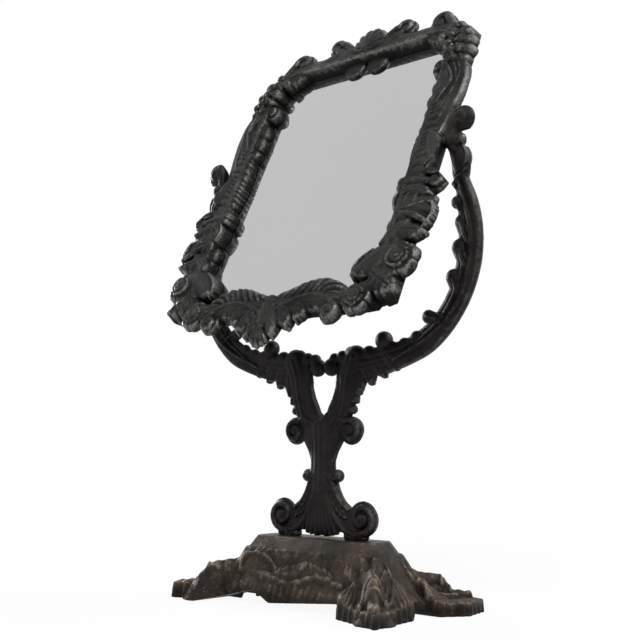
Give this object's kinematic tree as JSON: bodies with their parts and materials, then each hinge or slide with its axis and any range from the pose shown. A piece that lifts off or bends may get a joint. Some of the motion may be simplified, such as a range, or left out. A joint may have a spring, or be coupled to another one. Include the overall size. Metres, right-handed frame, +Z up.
{
  "type": "table mirror",
  "caption": "Free-standing cast iron table mirror: an ornamental frame that tilts between the arms of a scrolled yoke on a four-footed base.",
  "frame": {"origin": "on the table plane, under the middle of the base and the yoke", "axes": "+Z up, -Y towards the viewer (the mirror's front), +X to the viewer's right along the tilt axis"},
  "size_m": [0.294, 0.1477, 0.4862],
  "materials": {
    "worn_iron": "matte",
    "brown_iron": "satin",
    "black_iron": "satin",
    "silvered_glass": "polished",
    "dark_steel": "satin",
    "sheet_iron": "matte",
    "packing_card": "matte",
    "wedge_wood": "matte"
  },
  "bodies": {
    "stand": {"base_casting": "worn_iron", "yoke_casting": "brown_iron", "stand_bolt_left": "dark_steel", "stand_bolt_right": "dark_steel", "stand_washer_left": "dark_steel", "stand_washer_right": "dark_steel"},
    "mirror": {"mirror_frame": "black_iron", "mirror_glass": "silvered_glass", "glass_wedges": "wedge_wood", "packing_card": "packing_card", "back_plate": "sheet_iron", "back_plate_screws": "dark_steel", "pivot_screw_left": "dark_steel", "pivot_lock_nut_left": "dark_steel", "pivot_spring_washer_left": "dark_steel", "pivot_head_washer_left": "dark_steel", "pivot_screw_right": "dark_steel", "pivot_lock_nut_right": "dark_steel", "pivot_spring_washer_right": "dark_steel", "pivot_head_washer_right": "dark_steel"}
  },
  "joints": [
    {"name": "mirror_tilt", "type": "hinge", "parent": "stand", "child": "mirror", "pos_m": [0, 0, 0.345], "axis": [1, 0, 0], "range_deg": [-125, 15]}
  ]
}
